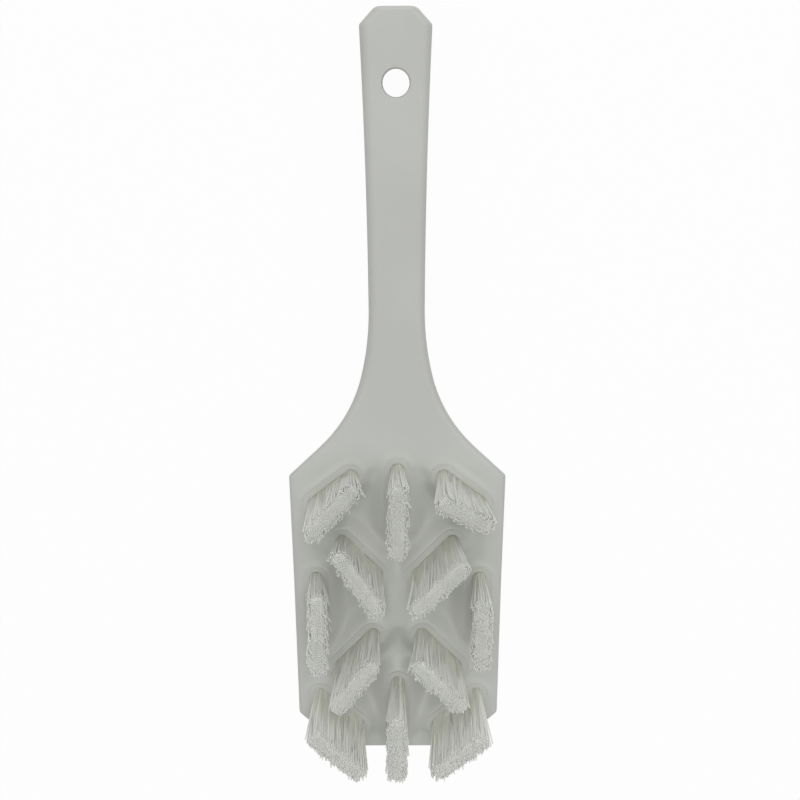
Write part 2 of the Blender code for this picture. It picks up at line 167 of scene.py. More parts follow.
class Nodes:
    """A node tree that is written as expressions."""

    def __init__(self, tree):
        self.tree = tree

    def add(self, kind, settings=None, sockets=None, output=0):
        """Add a node: its type, its settings, then the values or links of its sockets."""
        node = self.tree.nodes.new(kind)
        for name, value in (settings or {}).items():
            setattr(node, name, value)
        for key, value in (sockets or {}).items():
            if isinstance(value, Wire):
                self.tree.links.new(value.socket, node.inputs[key])
            else:
                node.inputs[key].default_value = value
        return Wire(self, node.outputs[output]) if len(node.outputs) else node

    def mix_colour(self, share, first, second):
        """A colour between two colours. The sockets' names repeat, so they go by number."""
        sockets = {0: share, 6: first, 7: second}
        return self.add("ShaderNodeMix", {"data_type": "RGBA"}, sockets, output=2)

    def math(self, operation, *values):
        """A Math node."""
        sockets = dict(enumerate(values))
        return self.add("ShaderNodeMath", {"operation": operation}, sockets)

    def vector(self, operation, *values):
        """A Vector Math node."""
        sockets = dict(enumerate(values))
        return self.add("ShaderNodeVectorMath", {"operation": operation}, sockets)

    def split(self, vector):
        """The X, Y and Z of a vector."""
        x = self.add("ShaderNodeSeparateXYZ", {}, {0: vector})
        return x, x.part("Y"), x.part("Z")

    def combine(self, **parts):
        """A vector from its X, Y and Z."""
        return self.add("ShaderNodeCombineXYZ", {}, parts)

    def read(self, name, kind="FLOAT"):
        """What the mesh stores under a name."""
        sockets = {"Name": name}
        return self.add("GeometryNodeInputNamedAttribute", {"data_type": kind}, sockets)

    def smoothstep(self, value, start, stop, low=0.0, high=1.0):
        """Ease from low to high while a value runs from start to stop."""
        sockets = {0: value, 1: start, 2: stop, 3: low, 4: high}
        return self.add("ShaderNodeMapRange", {"interpolation_type": "SMOOTHSTEP"}, sockets)

    def noise(self, place, scale, detail):
        """Smooth noise between 0 and 1, a number of bumps in each metre."""
        sockets = {"Vector": place, "Scale": scale, "Detail": detail}
        return self.add("ShaderNodeTexNoise", {}, sockets)


def new_material(name):
    """An empty material, its nodes, and its output node."""
    material = bpy.data.materials.new(name)
    material.use_nodes = True
    material.node_tree.nodes.clear()
    nodes = Nodes(material.node_tree)
    nodes.end = nodes.add("ShaderNodeOutputMaterial")
    return material, nodes


def show(nodes, shader):
    """Connect a shader to the output of its material or world."""
    nodes.tree.links.new(shader.socket, nodes.end.inputs["Surface"])


# %% [markdown]
# ## Floor and light
#
# The picture's background is plain white. A floor lit to pure white would throw so much light
# back that the brush would lose its shading, so the floor is a pale matt grey that only the
# camera and the reflections see as nearly white. A little of the real floor stays in the mix,
# which keeps the shadow. The light is a bright room: an even dome and four wide soft lamps.
# The strongest shines from behind the handle's end, from the camera's side, and lights the
# tufts' sides. One overhead reaches into the hollows, and a weak one stands on each side.

# %% Floor
FLOOR_SIZE = 6.0
FLOOR_GREY = 0.80
FLOOR_WHITE_SHARE = 0.96
WHITE = (1.0, 1.0, 1.0, 1.0)


def seen_directly(nodes):
    """1 for rays that come from the camera, a reflection or a clear material."""
    path = nodes.add("ShaderNodeLightPath", output="Is Camera Ray")
    seen = nodes.math("MAXIMUM", path, path.part("Is Glossy Ray"))
    return nodes.math("MAXIMUM", seen, path.part("Is Transmission Ray"))


def add_built(name, builder):
    """Put the mesh that bmesh has built into the scene."""
    mesh = bpy.data.meshes.new(name)
    builder.to_mesh(mesh)
    builder.free()
    return add_object(name, mesh)


def make_floor():
    """A wide matt floor that looks nearly white to the camera."""
    builder = bmesh.new()
    bmesh.ops.create_grid(builder, x_segments=1, y_segments=1, size=FLOOR_SIZE / 2)
    floor = add_built("floor", builder)
    material, nodes = new_material("pale_floor")
    grey = (FLOOR_GREY, FLOOR_GREY, FLOOR_GREY, 1.0)
    matt = nodes.add("ShaderNodeBsdfDiffuse", {}, {"Color": grey})
    glow = nodes.add("ShaderNodeEmission", {}, {"Color": WHITE, "Strength": 1.0})
    share = seen_directly(nodes) * FLOOR_WHITE_SHARE
    show(nodes, nodes.add("ShaderNodeMixShader", {}, {0: share, 1: matt, 2: glow}))
    floor.data.materials.append(material)


make_floor()
print("floor width in m:", FLOOR_SIZE)

# %% Light
DOME_STRENGTH = 0.36
LAMP_DISTANCE = 3.0
LAMP_SIZE = 2.2
LAMPS = {
    "handle_lamp": ((0.05, 0.75, 1.0), 42.0),
    "overhead_lamp": ((0.05, -0.1, 1.0), 8.0),
    "right_lamp": ((0.8, 0.1, 1.0), 5.0),
    "left_lamp": ((-0.8, 0.1, 1.0), 4.0),
}


def make_dome():
    """An even white dome, which the camera sees at full white."""
    world = bpy.data.worlds.new("bright_room")
    world.use_nodes = True
    world.node_tree.nodes.clear()
    nodes = Nodes(world.node_tree)
    nodes.end = nodes.add("ShaderNodeOutputWorld")
    strength = DOME_STRENGTH + seen_directly(nodes) * (1 - DOME_STRENGTH)
    show(nodes, nodes.add("ShaderNodeBackground", {}, {"Color": WHITE, "Strength": strength}))
    bpy.context.scene.world = world


def make_lamp(name, direction, power):
    """A square soft lamp that looks at the middle of the brush."""
    data = bpy.data.lights.new(name, "AREA")
    data.energy = power
    data.size = LAMP_SIZE
    lamp = add_object(name, data)
    middle = (cad_box[0] + cad_box[1]) / 2
    lamp.location = middle + Vector(direction).normalized() * LAMP_DISTANCE
    lamp.rotation_euler = (middle - lamp.location).to_track_quat("-Z", "Y").to_euler()
    return lamp


make_dome()
lamps = [make_lamp(name, direction, power) for name, (direction, power) in LAMPS.items()]
print("lamps in W:", [(lamp.name, round(lamp.data.energy, 2)) for lamp in lamps])

# %% [markdown]
# ## The body's plastic
#
# The body is injection moulded polypropylene, off-white with a satin skin. Up close it isn't
# one flat colour: the melt leaves very faint clouds a few centimetres wide, the tool's fine
# blasted texture breaks the highlights, and handling leaves hair-fine scratches along the
# brush. Each is one noise texture at its own scale. The clouds change the colour by a hair,
# the texture and the scratches only change the roughness and the bump.

# %% Moulded plastic
PLASTIC_LIGHT = (0.558, 0.568, 0.540, 1.0)
PLASTIC_DARK = (0.532, 0.542, 0.514, 1.0)
CLOUD_SCALE = 28.0
CLOUD_EDGES = (0.35, 0.65)
SKIN_SCALE = 3200.0
SCRATCH_STRETCH = (1.0, 0.03, 1.0)
SCRATCH_SCALE = 2600.0
BODY_ROUGHNESS = 0.42
SOCKET_ROUGHNESS = 0.40
SKIN_ROUGHNESS = 0.08
SCRATCH_ROUGHNESS = 0.06
SKIN_SHARE = 0.7
BUMP_STRENGTH = 0.12
BUMP_HEIGHT = 0.05 * MM
PLASTIC_SPECULAR = 0.45


def make_plastic(name, roughness):
    """Satin moulded plastic with clouds, a fine skin and hair-fine scratches."""
    material, nodes = new_material(name)
    place = nodes.add("ShaderNodeTexCoord", output="Object")
    clouds = nodes.noise(place, CLOUD_SCALE, detail=3.0)
    skin = nodes.noise(place, SKIN_SCALE, detail=2.0)
    stretched = nodes.vector("MULTIPLY", place, SCRATCH_STRETCH)
    scratches = nodes.noise(stretched, SCRATCH_SCALE, detail=1.0)
    share = nodes.smoothstep(clouds, *CLOUD_EDGES)
    rough = roughness + (skin - 0.5) * SKIN_ROUGHNESS + (scratches - 0.5) * SCRATCH_ROUGHNESS
    height = skin * SKIN_SHARE + scratches * (1 - SKIN_SHARE)
    bump = {"Strength": BUMP_STRENGTH, "Distance": BUMP_HEIGHT, "Height": height}
    sockets = {
        "Base Color": nodes.mix_colour(share, PLASTIC_DARK, PLASTIC_LIGHT),
        "Roughness": rough,
        "Normal": nodes.add("ShaderNodeBump", {}, bump),
        "Specular IOR Level": PLASTIC_SPECULAR,
    }
    show(nodes, nodes.add("ShaderNodeBsdfPrincipled", {}, sockets))
    return material


body_plastic = make_plastic("body_plastic", BODY_ROUGHNESS)
socket_plastic = make_plastic("socket_plastic", SOCKET_ROUGHNESS)
print("plastics:", body_plastic.name, socket_plastic.name)

# %% [markdown]
# ## Where the tufts stand
#
# Every later step needs to know where each tuft is and which way it lies. The frame already
# holds that: the foot of a tuft's node is its oblong outline. The outline's corners give the
# middle, and the direction in which they spread the most is the tuft's length. Reading these
# from the frame keeps the looks tied to the construction when a size changes there.

# %% Read the tufts from the frame
FOOT_SLICE = 0.1 * MM


class TuftSpot:
    """A tuft's middle, direction, length, width and heights, measured on its node.

    Its half line runs from its middle to the middle of one of its round ends.
    """

    def __init__(self, name):
        self.name = name
        corners = np.array([vertex.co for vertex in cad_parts[f"tuft_{name}"].data.vertices])
        heights = corners[:, 2]
        self.foot_z = heights.min()
        self.top_z = heights.max()
        foot = corners[heights < self.foot_z + FOOT_SLICE][:, :2]
        middle = (foot.min(axis=0) + foot.max(axis=0)) / 2
        spread, directions = np.linalg.eigh(np.cov((foot - middle).T))
        along = directions[:, np.argmax(spread)]
        along = along if along[1] > 0 else -along
        across = np.array((-along[1], along[0]))
        self.middle = Vector((middle[0], middle[1], 0.0))
        self.turn = math.atan2(along[1], along[0])
        self.length = np.ptp(foot @ along)
        self.width = np.ptp(foot @ across)
        self.half_line = (self.length - self.width) / 2


tuft_nodes = [node for node in sorted(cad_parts) if node.startswith("tuft_")]
spots = [TuftSpot(node.removeprefix("tuft_")) for node in tuft_nodes]
for spot in spots:
    print(spot.name, "length", round(spot.length / MM, 1), "width", round(spot.width / MM, 1))

# %% [markdown]
# ## The body's outline
#
# Seen from above, the body is a short list of straight lines and arcs: a cut toe, flanks that
# widen a little near the shoulders, a bevel at the shoulder, a tight sweep, a long lead into
# the neck, a handle that widens slowly and two cut corners at its end. Written as one
# function of the place along the brush, the outline can be sampled as finely as the render
# needs. Averaging it over a short stretch rounds its corners, as the tool's small radii do.

# %% Outline from above
body_low, body_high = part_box("brush_body")
TOE_Y = body_low.y
END_Y = body_high.y
HEEL_Y = -TOE_Y
HEAD_HALF_WIDTH = 37.5 * MM
SIDE_TAPER = math.tan(0.43 * DEGREE)
SIDE_TAPER_RUN = 40.0 * MM
TOE_CUT = 14.7 * MM
NECK_HALF_WIDTH = 9.25 * MM
SHOULDER_ANGLE = 46.4 * DEGREE
SHOULDER_RADIUS = 51.0 * MM
LEAD_ANGLE = 14.1 * DEGREE
LEAD_RADIUS = 95.9 * MM
HANDLE_LENGTH = 92.4 * MM
END_HALF_WIDTH = 11.3 * MM
END_CUT = 5.1 * MM
END_FACE_HALF_WIDTH = 6.25 * MM
CORNER_ROUND = 0.3 * MM

NECK_Y = END_Y - HANDLE_LENGTH
LEAD_START_Y = NECK_Y - LEAD_RADIUS * math.sin(LEAD_ANGLE)
SWEEP_RUN = SHOULDER_RADIUS * (math.sin(SHOULDER_ANGLE) - math.sin(LEAD_ANGLE))
SWEEP_START_Y = LEAD_START_Y - SWEEP_RUN
LEAD_REACH = LEAD_RADIUS * (1 - math.cos(LEAD_ANGLE))
SWEEP_REACH = SHOULDER_RADIUS * (math.cos(LEAD_ANGLE) - math.cos(SHOULDER_ANGLE))


def sharp_half_width(y):
    """Half the body's width at a place along it, before its corners are rounded."""
    if y < HEEL_Y:
        taper = min(HEEL_Y - y, SIDE_TAPER_RUN) * SIDE_TAPER
        return HEAD_HALF_WIDTH - taper - max(TOE_Y + TOE_CUT - y, 0.0)
    if y < SWEEP_START_Y:
        return HEAD_HALF_WIDTH - (y - HEEL_Y) * math.tan(SHOULDER_ANGLE)
    if y < LEAD_START_Y:
        sine = math.sin(SHOULDER_ANGLE) - (y - SWEEP_START_Y) / SHOULDER_RADIUS
        fall = SHOULDER_RADIUS * (math.sqrt(1 - sine * sine) - math.cos(SHOULDER_ANGLE))
        return NECK_HALF_WIDTH + LEAD_REACH + SWEEP_REACH - fall
    if y < NECK_Y:
        sine = math.sin(LEAD_ANGLE) - (y - LEAD_START_Y) / LEAD_RADIUS
        return NECK_HALF_WIDTH + LEAD_RADIUS * (1 - math.sqrt(1 - sine * sine))
    cut_y = END_Y - END_CUT
    share = (min(y, cut_y) - NECK_Y) / HANDLE_LENGTH
    grip = NECK_HALF_WIDTH + (END_HALF_WIDTH - NECK_HALF_WIDTH) * share * share
    return grip + (END_FACE_HALF_WIDTH - grip) * max(y - cut_y, 0.0) / END_CUT


def half_width(y):
    """Half the body's width, its corners rounded by averaging over a short stretch."""
    shares = (-1.0, -0.5, 0.0, 0.5, 1.0)
    return sum(sharp_half_width(y + CORNER_ROUND * share) for share in shares) / len(shares)


for label, y in (("toe", TOE_Y), ("head", 0.0), ("neck", NECK_Y), ("end", END_Y)):
    print("width at the", label, "in mm:", round(2 * half_width(y) / MM, 1))

# %% [markdown]
# ## The body's skin
#
# The body is a loft: one closed ring of points at each place along the brush, skinned from
# toe to end. A ring is a rounded shape whose walls lean inwards to the back, as the draft of
# the mould asks. They lean the most at the shoulders, which is why no wall shows there in
# the picture although it was taken from the handle's side. The upper side has evenly spaced
# columns, fine enough to carry the hollows that are pressed into it later. The handle is
# thinner than the head, because the back rises behind the shoulders.
#
# The next step has to know, for every point, whether it belongs to the face, where on the
# face it lies and how far inside its edge. Three attributes store that on the mesh:
# `face_share`, `face_spot` and `inside`.

# %% Loft the plain body
FACE_Z = 22.0 * MM
HANDLE_BACK_Z = 5.0 * MM
BACK_RISE_SHARE = 0.80
HEAD_FACE_ROUND = 2.0 * MM
HANDLE_FACE_ROUND = 2.8 * MM
HEAD_BACK_ROUND = 6.0 * MM
HANDLE_BACK_ROUND = 6.8 * MM
LEAST_FLAT = 0.3 * MM
RIM_ROUND = 1.0 * MM
TOE_SLOPE = math.tan(4 * DEGREE)
TOE_SLOPE_RUN = 20.0 * MM
SIDE_DRAFT = 6.0 * DEGREE
SHOULDER_DRAFT = 13.0 * DEGREE
HANDLE_DRAFT = 5.0 * DEGREE
SHOULDER_DRAFT_RUN = 30.0 * MM
DRAFT_STEPS = 8
FACE_STEP = 0.55 * MM
FACE_OVERRUN = 4.0 * MM
SHOULDER_STEP = 1.3 * MM
GRIP_STEP = 3.0 * MM
CUT_LEAD = 2.0 * MM
FACE_COLUMNS = 132
BACK_COLUMNS = 10
ROUND_STEPS = 6


def smooth(share):
    """Ease from 0 to 1, level at both ends."""
    share = min(max(share, 0.0), 1.0)
    return share * share * (3 - 2 * share)


def mix(first, second, share):
    """The value a share of the way from first to second."""
    return first + (second - first) * share


def arc(centre_x, centre_z, radius, start, stop):
    """Points along an arc of the ring."""
    turns = [mix(start, stop, k / ROUND_STEPS) * DEGREE for k in range(ROUND_STEPS + 1)]
    return [(centre_x + radius * math.cos(a), centre_z + radius * math.sin(a)) for a in turns]


def drawn_half_width(y, drawn):
    """Half the outline's width after it is drawn in by a distance all round."""
    shares = [k / DRAFT_STEPS for k in range(-DRAFT_STEPS, DRAFT_STEPS + 1)]
    places = [min(max(y + drawn * share, TOE_Y), END_Y) for share in shares]
    return min(
        half_width(place) - drawn * math.sqrt(1 - share * share)
        for place, share in zip(places, shares)
    )


def wall_angle(y, toe_slope, height):
    """How far the side wall leans inwards, seen along the brush."""
    near_heel = smooth((y - HEEL_Y) / SHOULDER_DRAFT_RUN + 1.0)
    near_neck = smooth((y - SWEEP_START_Y) / (NECK_Y - SWEEP_START_Y))
    draft = mix(mix(SIDE_DRAFT, SHOULDER_DRAFT, near_heel), HANDLE_DRAFT, near_neck)
    back = drawn_half_width(y + toe_slope * height, height * math.tan(draft))
    return math.atan((half_width(y) - back) / height)


def body_ring(y, inset):
    """One ring of the body: its points, and each point's face attributes."""
    rise = smooth((y - HEEL_Y) / ((NECK_Y - HEEL_Y) * BACK_RISE_SHARE))
    low = mix(0.0, HANDLE_BACK_Z, rise) + inset
    high = FACE_Z - inset
    face_round = mix(HEAD_FACE_ROUND, HANDLE_FACE_ROUND, rise) - inset
    back_round = mix(HEAD_BACK_ROUND, HANDLE_BACK_ROUND, rise) - inset
    toe_slope = TOE_SLOPE * (1 - smooth((y - TOE_Y) / TOE_SLOPE_RUN))
    lean = wall_angle(y, toe_slope, FACE_Z - low)
    reach = half_width(y) - inset - face_round
    # where the body is narrow its lower edges are rounded less, or the walls would cross
    drop = high - face_round - low
    room = reach * math.cos(lean) + face_round - math.sin(lean) * drop - LEAST_FLAT
    back_round = min(back_round, room / (1 - math.sin(lean)))
    # the wall touches both rounded edges, so the lower one's centre follows from its lean
    fall = drop - back_round
    back = reach + (face_round - back_round - math.sin(lean) * fall) / math.cos(lean)
    lean /= DEGREE
    flat = [(mix(reach, -reach, k / FACE_COLUMNS), high) for k in range(FACE_COLUMNS + 1)]
    left = arc(-reach, high - face_round, face_round, 90, 180 + lean)[1:]
    right = arc(reach, high - face_round, face_round, -lean, 90)[:-1]
    under = arc(-back, low + back_round, back_round, 180 + lean, 270)
    under += [(mix(-back, back, k / BACK_COLUMNS), low) for k in range(1, BACK_COLUMNS)]
    under += arc(back, low + back_round, back_round, 270, 360 - lean)
    outline = flat + left + under + right
    shares = [1.0] * (len(flat) + len(left)) + [0.0] * len(under) + [1.0] * len(right)
    spots_x = [min(max(x, -reach), reach) for x, _ in outline]
    points = [(x, y + toe_slope * (FACE_Z - z), z) for x, z in outline]
    return points, shares, [(x, y, 0.0) for x in spots_x], [reach - abs(x) for x in spots_x]


def body_stations():
    """Places along the brush, and how far the ring is drawn in at the rounded ends."""
    stations = []
    for k in range(ROUND_STEPS):
        turn = mix(90, 0, k / ROUND_STEPS) * DEGREE
        place = TOE_Y + RIM_ROUND * (1 - math.sin(turn))
        stations.append((place, RIM_ROUND * (1 - math.cos(turn))))
    face_stop = HEEL_Y + FACE_OVERRUN
    end_start = END_Y - END_CUT - CUT_LEAD
    runs = (
        (TOE_Y + RIM_ROUND, face_stop, FACE_STEP),
        (face_stop, NECK_Y, SHOULDER_STEP),
        (NECK_Y, end_start, GRIP_STEP),
        (end_start, END_Y - RIM_ROUND, FACE_STEP),
    )
    for start, stop, step in runs:
        count = round((stop - start) / step)
        stations += [(mix(start, stop, k / count), 0.0) for k in range(count)]
    for k in range(ROUND_STEPS + 1):
        turn = mix(0, 90, k / ROUND_STEPS) * DEGREE
        place = END_Y - RIM_ROUND * (1 - math.sin(turn))
        stations.append((place, RIM_ROUND * (1 - math.cos(turn))))
    return stations


def loft(name, rings):
    """Skin a run of closed rings of points, close both ends and turn the faces outwards."""
    builder = bmesh.new()
    loops = [[builder.verts.new(point) for point in ring] for ring in rings]
    for near, far in zip(loops, loops[1:]):
        for k, corner in enumerate(near):
            follow = (k + 1) % len(near)
            builder.faces.new((corner, near[follow], far[follow], far[k]))
    builder.faces.new(loops[0])
    builder.faces.new(loops[-1])
    bmesh.ops.recalc_face_normals(builder, faces=builder.faces)
    return add_built(name, builder)


def store(mesh, name, kind, values):
    """Store one value for each point of a mesh under a name."""
    attribute = mesh.attributes.new(name, kind, "POINT")
    key = "vector" if kind == "FLOAT_VECTOR" else "value"
    attribute.data.foreach_set(key, np.array(values, dtype=np.float32).ravel())


def make_plain_body():
    """The lofted body with a level face and the attributes that the next step reads."""
    rings, *values = zip(*(body_ring(y, inset) for y, inset in body_stations()))
    body = loft("moulded_body", rings)
    kinds = (("face_share", "FLOAT"), ("face_spot", "FLOAT_VECTOR"), ("inside", "FLOAT"))
    for (name, kind), lists in zip(kinds, values):
        store(body.data, name, kind, [value for ring in lists for value in ring])
    return body


body = make_plain_body()
print("plain body faces:", len(body.data.polygons))

# %% [markdown]
# ## The face between the tufts
#
# The face isn't flat. Each tuft stands on a smooth boss, and between the bosses the plastic
# falls away into hollows, so that water runs off. The middle, where the inner ends of four
# tufts meet, the deck by the handle and the rim of the head stay high. One rule makes the
# hollows: the farther a point lies from the nearest tuft, the lower it is. That makes it a
# job for Geometry Nodes. Short lines mark the tufts and the middle, Geometry Proximity
# measures the distance to them, eased ramps turn that distance into the hollow and a low
# collar, and Set Position moves the face. A blur rounds the ridges where the regions of two
# tufts meet. Hollows modelled by hand would take hours and would not follow a tuft that moves.

# %% Sculpt the face with Geometry Nodes
SOCKET_WALL = 2.1 * MM
SEAM = 0.04 * MM
DECK_OVERHANG = 4.8 * MM
COLLAR_RISE = 0.3 * MM
FACE_SIZES = {
    "Pocket Radius": spots[0].width / 2 + SOCKET_WALL + SEAM,
    "Hollow Depth": 3.7 * MM,
    "Hollow Start": 1.0 * MM,
    "Hollow Run": 4.2 * MM,
    "Deck End": HEEL_Y + DECK_OVERHANG,
    "Deck Run": 3.6 * MM,
    "Deck Blend": 1.5 * MM,
    "Side Land": 5.0 * MM,
    "Side Run": 6.5 * MM,
    "Toe End": TOE_Y + RIM_ROUND,
    "Toe Run": 5.0 * MM,
    "Middle Radius": 2.6 * MM,
    "Middle Blend": 2.0 * MM,
    "Collar Rise": COLLAR_RISE,
    "Collar Run": 2.2 * MM,
}
BLUR_ROUNDS = 20
MIDDLE_FROM = (0.0, 14.4 * MM, 0.0)
MIDDLE_TO = (0.0, 0.0, 0.0)


def make_guide(name, points):
    """Loose edges for Geometry Proximity to measure from, one for each pair of points."""
    mesh = bpy.data.meshes.new(name)
    mesh.from_pydata(points, [(k, k + 1) for k in range(0, len(points), 2)], [])
    return add_object(name, mesh)


def tuft_line_points():
    """For each tuft, the middles of its two round ends."""
    points = []
    for spot in spots:
        step = Vector((math.cos(spot.turn), math.sin(spot.turn), 0.0)) * spot.half_line
        points += [spot.middle - step, spot.middle + step]
    return points


def new_geometry_tree(name, inputs):
    """A Geometry Nodes tree with named inputs, and a Wire for each of them."""
    tree = bpy.data.node_groups.new(name, "GeometryNodeTree")
    tree.interface.new_socket("Geometry", in_out="INPUT", socket_type="NodeSocketGeometry")
    tree.interface.new_socket("Geometry", in_out="OUTPUT", socket_type="NodeSocketGeometry")
    for label, kind in inputs.items():
        tree.interface.new_socket(label, in_out="INPUT", socket_type=f"NodeSocket{kind}")
    nodes = Nodes(tree)
    start = nodes.add("NodeGroupInput")
    wires = {label: start.part(label) for label in ("Geometry", *inputs)}
    return tree, nodes, wires


def end_geometry_tree(nodes, geometry):
    """Connect the last geometry to the tree's output."""
    nodes.add("NodeGroupOutput", {}, {0: geometry})


def add_tree(thing, tree, values):
    """Add the tree as a modifier and set its inputs by their sockets' identifiers."""
    modifier = thing.modifiers.new(tree.name, "NODES")
    modifier.node_group = tree
    for item in tree.interface.items_tree:
        if item.in_out == "INPUT" and item.name in values:
            modifier[item.identifier] = values[item.name]


def bake(thing):
    """Turn what the modifiers show into the object's own plain mesh."""
    graph = bpy.context.evaluated_depsgraph_get()
    result = thing.evaluated_get(graph)
    mesh = bpy.data.meshes.new_from_object(result, preserve_all_data_layers=True, depsgraph=graph)
    thing.modifiers.clear()
    thing.data = mesh
    mesh.name = thing.name


def make_face_tree():
    """Heights of the face as a rule of the distance to the nearest tuft."""
    inputs = {"Tuft Lines": "Object", "Middle Line": "Object", "Blur Rounds": "Int"}
    inputs.update(dict.fromkeys(FACE_SIZES, "Float"))
    tree, nodes, given = new_geometry_tree("sculpt_face", inputs)
    spot = nodes.read("face_spot", "FLOAT_VECTOR")

    def distance_to(guide):
        lines = nodes.add("GeometryNodeObjectInfo", {}, {"Object": guide}, "Geometry")
        sockets = {"Geometry": lines, "Sample Position": spot}
        settings = {"target_element": "EDGES"}
        return nodes.add("GeometryNodeProximity", settings, sockets, "Distance")

    clear = distance_to(given["Tuft Lines"]) - given["Pocket Radius"]
    middle = distance_to(given["Middle Line"]) - given["Middle Radius"]
    _, along, _ = nodes.split(spot)
    deck = (given["Deck End"] - along) * (given["Hollow Run"] / given["Deck Run"])
    open_face = nodes.math("SMOOTH_MIN", clear, deck, given["Deck Blend"])
    open_face = nodes.math("SMOOTH_MIN", open_face, middle, given["Middle Blend"])
    stop = given["Hollow Start"] + given["Hollow Run"]
    hollow = nodes.smoothstep(open_face, given["Hollow Start"], stop)
    stop = given["Side Land"] + given["Side Run"]
    side = nodes.smoothstep(nodes.read("inside"), given["Side Land"], stop)
    toe = nodes.smoothstep(along - given["Toe End"], 0.0, given["Toe Run"])
    depth = hollow * side * toe * given["Hollow Depth"]
    sockets = {"Value": depth, "Iterations": given["Blur Rounds"], "Weight": 1.0}
    depth = nodes.add("GeometryNodeBlurAttribute", {"data_type": "FLOAT"}, sockets)
    collar = given["Collar Rise"] * nodes.smoothstep(clear, 0.0, given["Collar Run"], 1.0, 0.0)
    lift = (collar - depth) * nodes.read("face_share")
    sockets = {"Geometry": given["Geometry"], "Offset": nodes.combine(Z=lift)}
    end_geometry_tree(nodes, nodes.add("GeometryNodeSetPosition", {}, sockets))
    return tree


tuft_lines = make_guide("tuft_lines", tuft_line_points())
middle_line = make_guide("middle_line", [MIDDLE_FROM, MIDDLE_TO])
face_values = {
    "Tuft Lines": tuft_lines,
    "Middle Line": middle_line,
    "Blur Rounds": BLUR_ROUNDS,
    **FACE_SIZES,
}
add_tree(body, make_face_tree(), face_values)
bake(body)
heights = [vertex.co.z for vertex in body.data.vertices if vertex.co.z > FACE_Z / 2]
print("face between", round(min(heights) / MM, 1), "and", round(max(heights) / MM, 1), "mm")

# %% [markdown]
# ## Pockets and the hanging hole
#
# The sockets stand in pockets, and the handle has a hole. Both are cut: one cutter holds the
# twelve oblong plugs and the bar for the hole, whose ends flare in a quarter round, as the
# hole's rim does on the real handle. A Boolean with the Manifold solver is quick here and
# exact enough, because the body and the cutter are both closed.

# %% Cut the pockets and the hole
OUTLINE_STEPS = 14
POCKET_DEPTH = 6.0 * MM
CUT_OVERRUN = 3.0 * MM
HOLE_RADIUS = 4.3 * MM
HOLE_FROM_END = 21.8 * MM
HOLE_ROUND = 0.4 * MM
HOLE_SIDES = 96
SHARP_ANGLE = 40 * DEGREE


def flat_oblong(spot, outside):
    """A tuft's outline, grown outwards by a distance, lying along X round the origin."""
    radius = spot.width / 2 + outside
    ring = []
    for end in (1, -1):
        for k in range(OUTLINE_STEPS + 1):
            turn = math.pi * (k / OUTLINE_STEPS - 0.5)
            along = (spot.half_line + radius * math.cos(turn)) * end
            ring.append((along, radius * math.sin(turn) * end))
    return ring


def oblong(spot, outside, z):
    """The same outline where the tuft stands, at a height."""
    cosine, sine = math.cos(spot.turn), math.sin(spot.turn)
    return [
        (spot.middle.x + x * cosine - y * sine, spot.middle.y + x * sine + y * cosine, z)
        for x, y in flat_oblong(spot, outside)
    ]


def hole_profile():
    """Radius and height of the hole from the handle's back to its face."""
    quarter = [k / ROUND_STEPS * 90 * DEGREE for k in range(ROUND_STEPS + 1)]
    wide = HOLE_RADIUS + HOLE_ROUND
    low = [(wide - HOLE_ROUND * math.sin(a), HANDLE_BACK_Z + HOLE_ROUND * (1 - math.cos(a)))
           for a in quarter]
    high = [(radius, HANDLE_BACK_Z + FACE_Z - z) for radius, z in reversed(low)]
    return [(wide, HANDLE_BACK_Z - CUT_OVERRUN)] + low + high + [(wide, FACE_Z + CUT_OVERRUN)]


def make_cutter():
    """The hole's bar and a plug for each pocket, joined into one closed cutter."""
    hole_y = END_Y - HOLE_FROM_END
    rings = []
    for radius, z in hole_profile():
        turns = [2 * math.pi * k / HOLE_SIDES for k in range(HOLE_SIDES)]
        rings.append([(radius * math.cos(a), hole_y + radius * math.sin(a), z) for a in turns])
    parts = [loft("hole_bar", rings)]
    outside = SOCKET_WALL + SEAM
    for spot in spots:
        levels = (FACE_Z - POCKET_DEPTH - SEAM, FACE_Z + CUT_OVERRUN)
        parts.append(loft("plug_" + spot.name, [oblong(spot, outside, z) for z in levels]))
    builder = bmesh.new()
    for part in parts:
        builder.from_mesh(part.data)
        bpy.data.objects.remove(part)
    return add_built("body_cutter", builder)


def triangle_count(thing):
    """How many triangles a mesh has when it is drawn."""
    return sum(len(face.vertices) - 2 for face in thing.data.polygons)


cutter = make_cutter()
cut = body.modifiers.new("pockets_and_hole", "BOOLEAN")
cut.operation = "DIFFERENCE"
cut.solver = "MANIFOLD"
cut.object = cutter
bake(body)
for helper in (cutter, tuft_lines, middle_line):
    bpy.data.objects.remove(helper)
# the Boolean leaves an empty material slot, and the faces would stay in it
body.data.materials.clear()
body.data.materials.append(body_plastic)
body.data.shade_smooth()
body.data.set_sharp_from_angle(angle=SHARP_ANGLE)
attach(body, "root")
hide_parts("brush_body")
print("body triangles:", triangle_count(body))

# %% [markdown]
# ## Sockets
#
# Each tuft is welded into a small socket of its own: an oblong cup with a foot that locks it
# in the body. Its rim carries on the body's collar, falls a little towards the filaments and
# nearly touches them, so only a thin dark line is left round the root. A socket is one
# profile swept round the oblong outline, and since all its rings have the same number of
# points, the loft that made the body makes the socket as well.

# %% Sockets
SOCKET_FOOT = 0.6 * MM
FOOT_HEIGHT = 1.8 * MM
SOCKET_FLOOR = 1.6 * MM
SEAT_GAP = 0.3 * MM
RIM_FALL = 0.15 * MM
RIM_STEPS = 8
RIM_GAP = 0.05 * MM


